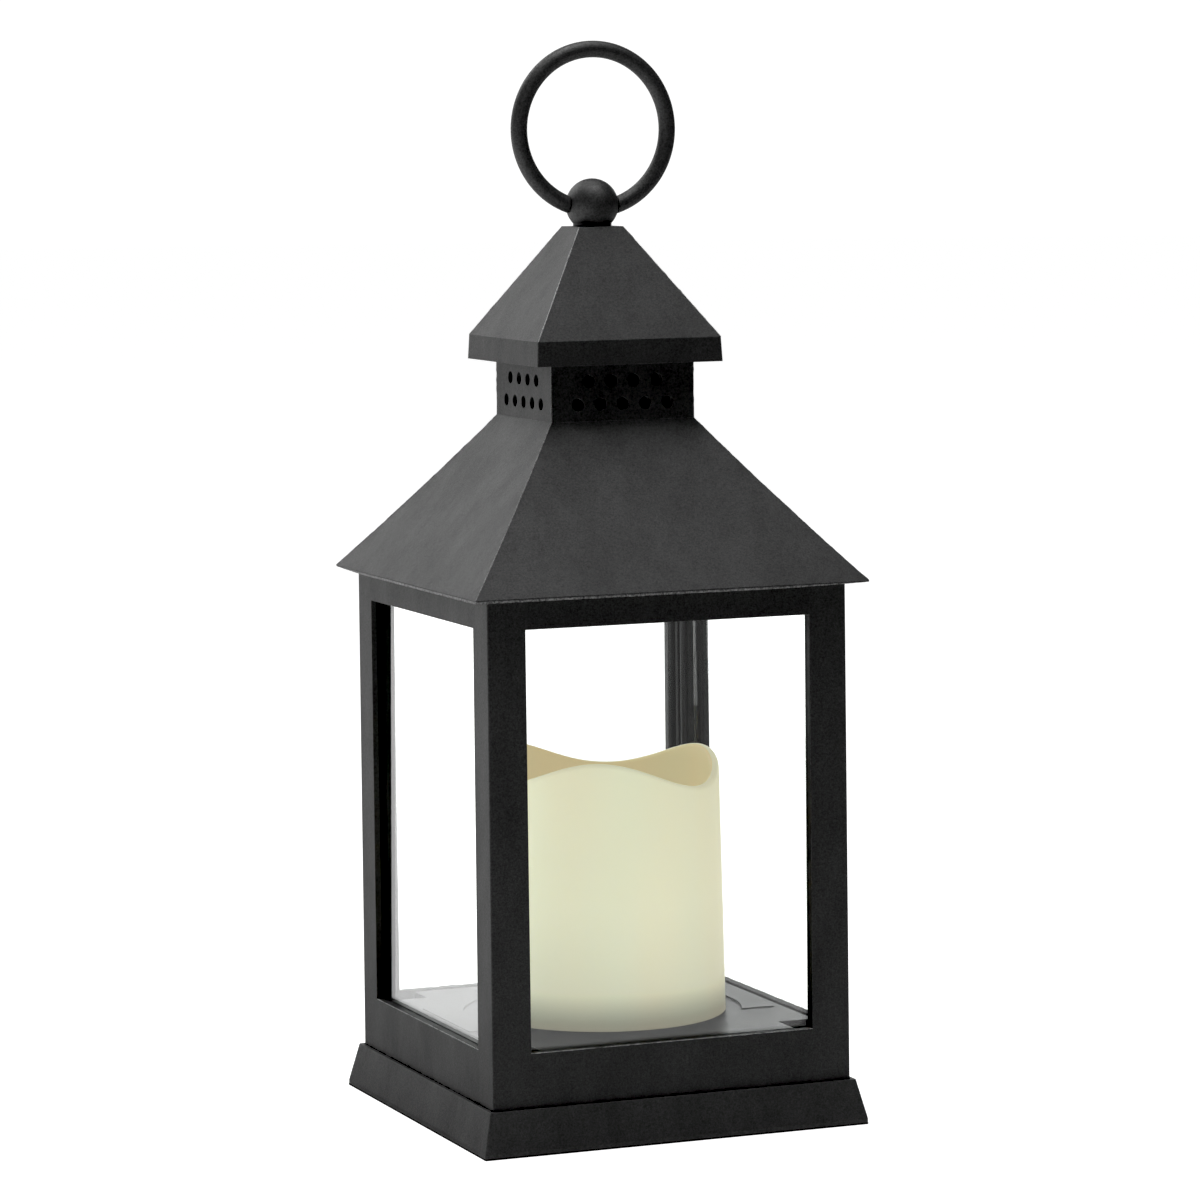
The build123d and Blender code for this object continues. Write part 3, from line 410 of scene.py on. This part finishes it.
def make_materials():
    """The finishes for the slots of the record, and those of the pieces added here."""
    made = {name: moulded_black(name, *values) for name, values in BLACK_FINISHES.items()}
    made.update({
        "pane_glass": pane_glass(),
        "white_plastic": soft_plastic("white_plastic", (0.72, 0.71, 0.66)),
        "led_resin": lamp_resin("led_resin", (0.93, 0.84, 0.55, 1.0)),
        "solar_silicon": solar_silicon(),
        "clear_resin": lamp_resin("clear_resin", (0.96, 0.97, 0.98, 1.0), 0.03),
        "board_green": board_green(),
        "black_parts": soft_plastic("black_parts", (0.025, 0.025, 0.027), 0.5, 0.2),
        "screw_steel": plated_metal("screw_steel", (0.56, 0.56, 0.53), 0.34),
        "nickel": plated_metal("nickel", (0.70, 0.68, 0.63), 0.22),
        "tin_can": plated_metal("tin_can", (0.66, 0.66, 0.63), 0.36, 500.0),
        "wire_black": soft_plastic("wire_black", (0.022, 0.022, 0.023), 0.38, 0.15),
        "cell_sleeve": cell_sleeve(),
        "dried_glue": soft_plastic("dried_glue", (0.2, 0.2, 0.195), 0.3, 0.5),
    })
    return made


OWN_FINISH = {"floor_tray": "tray_satin"}


def dress_nodes(materials):
    """Give every CAD node its finish."""
    for part in frame["record"]["subparts"]:
        node = frame["nodes"][part["node"]]
        if part["material_slot"] not in materials:
            continue
        node.data.materials.clear()
        own = OWN_FINISH.get(part["node"], part["material_slot"])
        node.data.materials.append(materials[own])


# ---------------------------------------------------------------- helpers for pieces
def mesh_piece(name, bm, body):
    """Turn a bmesh into a smooth-shaded piece that rides on a body."""
    bmesh.ops.recalc_face_normals(bm, faces=bm.faces)
    mesh = bpy.data.meshes.new(name)
    bm.to_mesh(mesh)
    bm.free()
    for polygon in mesh.polygons:
        polygon.use_smooth = True
    piece = bpy.data.objects.new(name, mesh)
    bpy.context.scene.collection.objects.link(piece)
    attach(piece, body)
    return piece


def skin(bm, rings, closed):
    """Faces between neighbouring rings of vertices; an open strip gets an end cap on each side."""
    following = rings[1:] + rings[:1] if closed else rings[1:]
    for a, b in zip(rings, following):
        for i in range(len(a)):
            j = (i + 1) % len(a)
            bm.faces.new((a[i], a[j], b[j], b[i]))
    if not closed:
        bm.faces.new(rings[0])
        bm.faces.new(list(reversed(rings[-1])))


def wire(bm, points, radius, wobble, frequency, sides):
    """Uneven round wire along a line of points."""
    rings = []
    for i, point in enumerate(points):
        ahead = points[min(i + 1, len(points) - 1)] - points[max(i - 1, 0)]
        across = ahead.cross(Vector((0.37, 0.53, 0.76))).normalized()
        up = across.cross(ahead).normalized()
        size = radius * (1 + wobble * noise.noise(point * frequency))
        size *= 1 + 0.6 * wobble * noise.noise(point * frequency * 2.7)
        size = max(size, 0.2 * radius)
        ring = []
        for k in range(sides):
            turn = 2 * math.pi * k / sides
            ring.append(bm.verts.new(point + size * (across * math.cos(turn) + up * math.sin(turn))))
        rings.append(ring)
    skin(bm, rings, False)


def straight(a, b, steps):
    return [Vector(a).lerp(Vector(b), i / steps) for i in range(steps + 1)]


# ---------------------------------------------------------------- candle
CANDLE_LOBES = 3
CANDLE_TURN = math.radians(113.0)
CANDLE_WAVE = 3.5 * MM
CANDLE_RIM = 90.9 * MM
CANDLE_FALL = 0.6 * MM
CANDLE_TOP_RADIUS = 30.7 * MM
CANDLE_FOOT = 0.4 * MM
CANDLE_WALL = 2.4 * MM
CANDLE_LIP = 1.2 * MM
CANDLE_HOLLOW = 66.0 * MM
CANDLE_AROUND = 288
CANDLE_PROFILE = (("foot", 0, 5), ("wall", 1, 44), ("lip", 1, 12), ("inner", 1, 26))


def candle():
    """Wax-look candle: tapered wall, foot rounding, wavy melted rim and hollow top."""
    low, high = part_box("candle_shell")
    base_radius = (high.x - low.x) / 2
    base_z = low.z
    centre_x = (low.x + high.x) / 2
    centre_y = (low.y + high.y) / 2
    bm = bmesh.new()
    rings = []

    def rim(angle):
        swell = noise.noise(Vector((math.cos(angle) * 1.3, math.sin(angle) * 1.3, 4.0))) * 0.35 * MM
        lobes = CANDLE_WAVE * math.cos(CANDLE_LOBES * (angle + CANDLE_TURN))
        return CANDLE_RIM + lobes - CANDLE_FALL * math.cos(angle) + swell

    def wall_radius(z):
        return base_radius + (CANDLE_TOP_RADIUS - base_radius) * (z - base_z) / (CANDLE_RIM - base_z)

    def uneven(angle, z):
        where = Vector((math.cos(angle) * 1.6, math.sin(angle) * 1.6, z / (38 * MM)))
        return noise.noise(where) * 0.10 * MM

    profile = []
    for kind, first, last in CANDLE_PROFILE:
        profile += [(kind, step / last) for step in range(first, last + 1)]
    for kind, t in profile:
        ring = []
        for i in range(CANDLE_AROUND):
            angle = 2 * math.pi * i / CANDLE_AROUND
            top = rim(angle) - CANDLE_LIP
            if kind == "foot":
                turn = math.pi / 2 * t
                z = base_z + CANDLE_FOOT * (1 - math.cos(turn))
                radius = base_radius - CANDLE_FOOT * (1 - math.sin(turn))
            elif kind == "wall":
                z = base_z + CANDLE_FOOT + (top - base_z - CANDLE_FOOT) * t
                radius = wall_radius(z) + uneven(angle, z)
            elif kind == "lip":
                turn = math.pi * t
                z = top + CANDLE_LIP * math.sin(turn)
                radius = wall_radius(top) - CANDLE_WALL / 2 * (1 - math.cos(turn)) + uneven(angle, z)
            else:
                z = top + (CANDLE_HOLLOW - top) * t
                radius = wall_radius(z) - CANDLE_WALL
            x = centre_x + radius * math.cos(angle)
            y = centre_y + radius * math.sin(angle)
            ring.append(bm.verts.new((x, y, z)))
        rings.append(ring)
    bottom = []
    for i in range(CANDLE_AROUND):
        angle = 2 * math.pi * i / CANDLE_AROUND
        radius = base_radius - CANDLE_WALL
        x = centre_x + radius * math.cos(angle)
        y = centre_y + radius * math.sin(angle)
        bottom.append(bm.verts.new((x, y, base_z)))
    rings.append(bottom)
    rings.append(rings[0])
    for a, b in zip(rings, rings[1:]):
        for i in range(CANDLE_AROUND):
            j = (i + 1) % CANDLE_AROUND
            bm.faces.new((a[i], a[j], b[j], b[i]))
    piece = mesh_piece("candle", bm, "lantern")
    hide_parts("candle_shell")
    # The last number of each call is the strength of the painted glow.
    outer = wax("ivory_wax", (0.729, 0.718, 0.525, 1), (0.325, 0.33, 0.243, 1), base_z, 0.82)
    # Painted shade: the inside of the hollow is a darker, browner copy of the wax.
    inner = wax("wax_inside_painted_shade", (0.64, 0.551, 0.312, 1), (0.41, 0.36, 0.23, 1), base_z, 0.84)
    piece.data.materials.append(outer)
    piece.data.materials.append(inner)
    for polygon in piece.data.polygons:
        x = polygon.center.x - centre_x
        y = polygon.center.y - centre_y
        if x * polygon.normal.x + y * polygon.normal.y < -0.5 * math.hypot(x, y):
            polygon.material_index = 1


# ---------------------------------------------------------------- traces of moulding and gluing, with painted highlight and shade lines
# Knees, tops and feet are (distance from the axis, height) of a corner line of the CAD.
FLASH_DROP = 0.62 * MM
FLASH_LEAST = 0.08 * MM
FLASH_LEAN = 0.12 * MM
FLASH_DEPTH = 0.45 * MM
FLASH_REACH = 0.22
FLASH_STEPS = 260
CAP_KNEE = (25.29 * MM, 203.33 * MM)
CAP_TOP = (6.16 * MM, 231.71 * MM)
ROOF_FOOT = (53.7 * MM, 141.3 * MM)
ROOF_HEAD = (19.8 * MM, 182.34 * MM)
ROOF_HOLLOW = 0.4 * MM
EDGE_INSET = 0.1 * MM
HIP_WIRE = 0.13 * MM
HIP_STEPS = 120
NECK_TOP = CAP_KNEE[1] - 5.0 * MM
WIRE_SIDES = 6
SEAM_WIRE = 0.21 * MM
FOOT_WIRE = 0.2 * MM
EDGE_WIRE = 0.11 * MM
SILL_INSET = 0.07 * MM
GLUE_WIRE = 0.2 * MM
GLUE_INSET = 0.5 * MM
WINDOW_HALF = 38.85 * MM
WINDOW_BOTTOM = 25.66 * MM


def eave_flash(materials):
    """Thin irregular flash that hangs from the eave, deepest at the corner nearest the camera, in a lighter
    finish that is a painted highlight along the eave edge.
    """
    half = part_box("main_roof")[1].x - 0.03 * MM
    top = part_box("body_frame")[1].z + 0.12 * MM
    bm = bmesh.new()
    rings = []
    sides = ((-1, -1, 1, 0), (1, -1, 0, 1), (1, 1, -1, 0), (-1, 1, 0, -1))
    for side, (start_x, start_y, along_x, along_y) in enumerate(sides):
        for i in range(FLASH_STEPS):
            t = i / FLASH_STEPS
            x = half * (start_x + 2 * along_x * t)
            y = half * (start_y + 2 * along_y * t)
            near = (1 - t, 0.0, 0.0, t)[side]
            drop = FLASH_LEAST + FLASH_DROP * min(1.0, near / FLASH_REACH) ** 0.7
            drop += (0.05 + 0.12 * near) * MM * noise.noise(Vector((x, y, 3 * MM)) * 900)
            lean = FLASH_LEAN * near * (1 + 0.6 * noise.noise(Vector((x, y, 9 * MM)) * 260))
            outward = Vector((x, y, 0)) / half
            edge = Vector((x, y, top))
            tip = edge + outward * lean - Vector((0, 0, drop))
            inner = edge - outward * FLASH_DEPTH
            rings.append([bm.verts.new(edge), bm.verts.new(tip), bm.verts.new(inner)])
    skin(bm, rings, True)
    piece = mesh_piece("eave_flash", bm, "lantern")
    piece.data.materials.append(materials["flash_edge"])


def glue_bead(materials):
    """Uneven bead of glue along the edge of the right pane at the far corner."""
    low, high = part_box("pane_right")
    bm = bmesh.new()
    x = high.x - GLUE_INSET
    y = high.y + 0.1 * MM
    path = straight((x, y, low.z + GLUE_INSET), (x, y, high.z - GLUE_INSET), 240)
    wire(bm, path, GLUE_WIRE, 1.1, 620, 8)
    piece = mesh_piece("glue_bead", bm, "lantern")
    piece.data.materials.append(materials["dried_glue"])


def parting_lines(materials):
    """Fine raised lines of the mould on the hips of cap and roof and on the neck's corners, lighter than the
    plastic as a painted highlight, and lightest on the cap's hips.
    """
    bm = bmesh.new()
    for sx in (-1, 1):
        for sy in (-1, 1):
            def at(half, z):
                return Vector((sx * (half - EDGE_INSET), sy * (half - EDGE_INSET), z))

            cap_hip = straight(at(*CAP_KNEE), at(*CAP_TOP), 90)
            roof_hip = straight(at(*ROOF_FOOT), at(*ROOF_HEAD), HIP_STEPS)
            for i, point in enumerate(roof_hip):
                bow = 4 * ROOF_HOLLOW * (i / HIP_STEPS) * (1 - i / HIP_STEPS)
                point -= Vector((sx, sy, 0)) * bow * 0.72 + Vector((0, 0, bow * 0.6))
            neck_corner = straight(at(*ROOF_HEAD), at(ROOF_HEAD[0], NECK_TOP), 40)
            for path in (cap_hip, roof_hip, neck_corner):
                wire(bm, path, HIP_WIRE, 0.8, 500, WIRE_SIDES)
    piece = mesh_piece("parting_lines", bm, "lantern")
    piece.data.materials.append(materials["parting_edge"])
    piece.data.materials.append(materials["worn_edge"])
    # Painted highlight: the cap's hips take the brightest edge finish.
    for polygon in piece.data.polygons:
        if polygon.center.z > CAP_KNEE[1]:
            polygon.material_index = 1


def sill_highlight_lines(materials):
    """Thin light lines along the lower side of each window: a painted highlight on the sill edges."""
    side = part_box("body_frame")[1].x - SILL_INSET
    z = WINDOW_BOTTOM - 0.05 * MM
    bm = bmesh.new()
    for turn in range(4):
        spin = Matrix.Rotation(turn * math.pi / 2, 3, "Z")
        a = spin @ Vector((-WINDOW_HALF, -side, z))
        b = spin @ Vector((WINDOW_HALF, -side, z))
        wire(bm, straight(a, b, 160), EDGE_WIRE, 0.9, 500, WIRE_SIDES)
    piece = mesh_piece("sill_highlight_lines", bm, "lantern")
    piece.data.materials.append(materials["worn_edge"])


def base_shade_lines(materials):
    """Ragged dark lines of painted shade: one in the gap where the body sits on the plinth, and a finer painted
    contact shadow along the plinth's foot.
    """
    body = (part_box("body_frame")[1].x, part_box("plinth")[1].z, SEAM_WIRE, 1.3)
    foot = (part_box("plinth")[1].x - FOOT_WIRE / 2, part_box("plinth")[0].z + 1.3 * FOOT_WIRE, FOOT_WIRE, 0.25)
    bm = bmesh.new()
    for half, z, radius, wobble in (body, foot):
        for sx, sy, ex, ey in ((-1, -1, 1, -1), (1, -1, 1, 1), (1, 1, -1, 1), (-1, 1, -1, -1)):
            path = straight((sx * half, sy * half, z), (ex * half, ey * half, z), 260)
            wire(bm, path, radius, wobble, 640, WIRE_SIDES)
    piece = mesh_piece("base_shade_lines", bm, "lantern")
    piece.data.materials.append(materials["seam_dark"])


# ---------------------------------------------------------------- stage
def stage_floor():
    """A wide pale floor, white to the camera, dim far in front, and see-through from below."""
    bm = bmesh.new()
    bmesh.ops.create_circle(bm, cap_ends=True, segments=96, radius=FLOOR_RADIUS)
    mesh = bpy.data.meshes.new("stage_floor")
    bm.to_mesh(mesh)
    bm.free()
    floor = bpy.data.objects.new("stage_floor", mesh)
    floor.location.z = cad_box[0].z - FLOOR_DROP
    bpy.context.scene.collection.objects.link(floor)
    s = Shader("pale_floor")
    path = s.add("ShaderNodeLightPath").outputs
    spot = s.add("ShaderNodeSeparateXYZ", {0: s.place}).outputs
    beside = spot["X"]
    depth = spot["Y"]
    lit = s.ramp(s.remap(depth, *LIT_SPAN, 0.0, 1.0), 0.1, 0.8, grey(FLOOR_FRONT), grey(FLOOR_BACK))
    seen = s.seen_straight()
    base = s.mix(seen, lit, grey(0.5))
    glow = s.math("MULTIPLY", seen, s.remap(path["Is Camera Ray"], 0.0, 1.0, SEEN_WHITE, 1.0))
    bounce = s.remap(beside, *LEFT_SPAN, 0.0, LEFT_BOUNCE)
    near = s.math("MULTIPLY", s.remap(depth, *NEAR_RISE, 0.0, 1.0), s.remap(depth, *NEAR_FALL, 0.0, 1.0))
    front = s.remap(beside, *NEAR_SIDE, 0.5 * FRONT_BOUNCE, FRONT_BOUNCE)
    bounce = s.math("ADD", bounce, s.math("MULTIPLY", near, front))
    glow = s.math("ADD", glow, s.math("MULTIPLY", s.math("SUBTRACT", 1.0, seen), bounce))
    mirrored = s.math("MULTIPLY", path["Is Singular Ray"], s.math("SUBTRACT", 1.0, seen))
    mirrored = s.math("MULTIPLY", mirrored, s.remap(depth, *MIRROR_SPAN, MIRROR_FRONT, MIRROR_WHITE))
    glow = s.math("ADD", glow, mirrored)
    matte = s.add("ShaderNodeBsdfDiffuse", {"Color": base}).outputs[0]
    shine = s.add("ShaderNodeEmission", {"Color": WHITE, "Strength": glow}).outputs[0]
    solid = s.add("ShaderNodeAddShader", {0: matte, 1: shine}).outputs[0]
    reach = s.math("MAXIMUM", s.math("ABSOLUTE", beside), s.math("ABSOLUTE", depth))
    open_under = s.math("LESS_THAN", reach, FOOTPRINT)
    open_under = s.math("MAXIMUM", open_under, s.add("ShaderNodeNewGeometry").outputs["Backfacing"])
    clear = s.add("ShaderNodeBsdfTransparent", {"Color": WHITE}).outputs[0]
    shown = s.add("ShaderNodeMixShader", {0: open_under, 1: solid, 2: clear}).outputs[0]
    floor.data.materials.append(s.finish(shown))


# Each soft box: place, side length and power. All of them aim at the middle of the lantern.
LIGHT_TARGET = Vector((0.0, 0.0, 0.12))
SOFTBOXES = {
    "top_softbox": ((0.0, 0.0, 1.3), 0.8, 9.2),
    "front_softbox": ((0.2, -0.5, 1.2), 0.6, 2.6),
    "back_softbox": ((-0.7, 1.0, 0.5), 0.8, 1.0),
    "high_softbox": ((-0.45, 0.9, 1.0), 0.6, 5.5),
}


def studio_lights():
    """Two soft boxes overhead and two behind the left shoulder of the object."""
    for name, (place, size, power) in SOFTBOXES.items():
        data = bpy.data.lights.new(name, "AREA")
        data.shape = "RECTANGLE"
        data.size = size
        data.size_y = size
        data.energy = power
        light = bpy.data.objects.new(name, data)
        light.location = place
        aim = LIGHT_TARGET - Vector(place)
        light.rotation_euler = aim.to_track_quat("-Z", "Y").to_euler()
        bpy.context.scene.collection.objects.link(light)


def world_light():
    """White to the camera and the panes; rough faces see a glow behind on the right and from below."""
    world = bpy.data.worlds.new("studio")
    bpy.context.scene.world = world
    world.use_nodes = True
    tree = world.node_tree
    tree.nodes.clear()

    def add(kind, inputs=None, **settings):
        return add_node(tree, kind, inputs, settings)

    def span(value, low, high, top):
        inputs = {"Value": value, "From Min": low, "From Max": high, "To Min": 0.0, "To Max": top}
        return add("ShaderNodeMapRange", inputs, interpolation_type="SMOOTHSTEP").outputs["Result"]

    def combine(operation, a, b):
        return add("ShaderNodeMath", {0: a, 1: b}, operation=operation).outputs[0]

    path = add("ShaderNodeLightPath").outputs
    direction = add("ShaderNodeTexCoord").outputs["Generated"]
    toward = add("ShaderNodeVectorMath", {0: direction, 1: GLOW_DIRECTION}, operation="DOT_PRODUCT")
    split = add("ShaderNodeSeparateXYZ", {0: direction}).outputs
    mirrored = combine("MAXIMUM", span(split["Y"], 0.0, 0.3, MIRROR_WHITE), MIRROR_FRONT)
    mirrored = combine("MULTIPLY", path["Is Singular Ray"], mirrored)
    rough = combine("MULTIPLY", path["Is Glossy Ray"], span(toward.outputs["Value"], 0.7, 0.97, BACK_GLOW))
    rough = combine("MULTIPLY", rough, span(split["Z"], 0.34, 0.2, 1.0))
    total = combine("MAXIMUM", mirrored, rough)
    total = combine("MAXIMUM", total, span(split["Z"], -0.02, -0.8, UNDER_GLOW))
    straight_on = combine("LESS_THAN", path["Glossy Depth"], 0.5)
    through = combine("MULTIPLY", path["Is Transmission Ray"], straight_on)
    seen = combine("MAXIMUM", path["Is Camera Ray"], through)
    mix = add("ShaderNodeMix", {0: seen, 2: total, 3: SEEN_WHITE}, data_type="FLOAT")
    glow = add("ShaderNodeBackground", {"Strength": mix.outputs[0]})
    add("ShaderNodeOutputWorld", {"Surface": glow.outputs[0]})


CAMERA_AZIMUTH = math.radians(-21.79)
CAMERA_ELEVATION = math.radians(5.86)
CAMERA_ROLL = math.radians(-0.68)
CAMERA_DISTANCE = 1.2745
CAMERA_TARGET = Vector((0.0, 0.0, 0.13405))
CAMERA_SHIFT = 0.84 * MM
CAMERA_LENS = 146.02


def photo_camera():
    """A long lens, a little above the object and to the left of its front."""
    a, e = CAMERA_AZIMUTH, CAMERA_ELEVATION
    back = Vector((math.sin(a) * math.cos(e), -math.cos(a) * math.cos(e), math.sin(e)))
    right = Vector((math.cos(a), math.sin(a), 0.0))
    up = back.cross(right)
    turned_right = right * math.cos(CAMERA_ROLL) + up * math.sin(CAMERA_ROLL)
    turned_up = up * math.cos(CAMERA_ROLL) - right * math.sin(CAMERA_ROLL)
    data = bpy.data.cameras.new("camera")
    data.lens = CAMERA_LENS
    data.sensor_width = 36.0
    data.clip_start = 0.05
    camera = bpy.data.objects.new("camera", data)
    spot = CAMERA_TARGET + right * CAMERA_SHIFT + back * CAMERA_DISTANCE
    turn = Matrix((turned_right, turned_up, back)).transposed().to_4x4()
    camera.matrix_world = Matrix.Translation(spot) @ turn
    bpy.context.scene.collection.objects.link(camera)
    bpy.context.scene.camera = camera


materials = make_materials()
dress_nodes(materials)
candle()
eave_flash(materials)
glue_bead(materials)
parting_lines(materials)
sill_highlight_lines(materials)
base_shade_lines(materials)
stage_floor()
world_light()
studio_lights()
photo_camera()
bpy.context.scene.view_settings.view_transform = "Standard"
bpy.context.scene.view_settings.look = "None"
bpy.context.scene.view_settings.use_curve_mapping = True
bpy.context.scene.view_settings.curve_mapping.black_level = (BLACK_LEVEL, BLACK_LEVEL, BLACK_LEVEL)
bpy.context.scene.view_settings.curve_mapping.update()
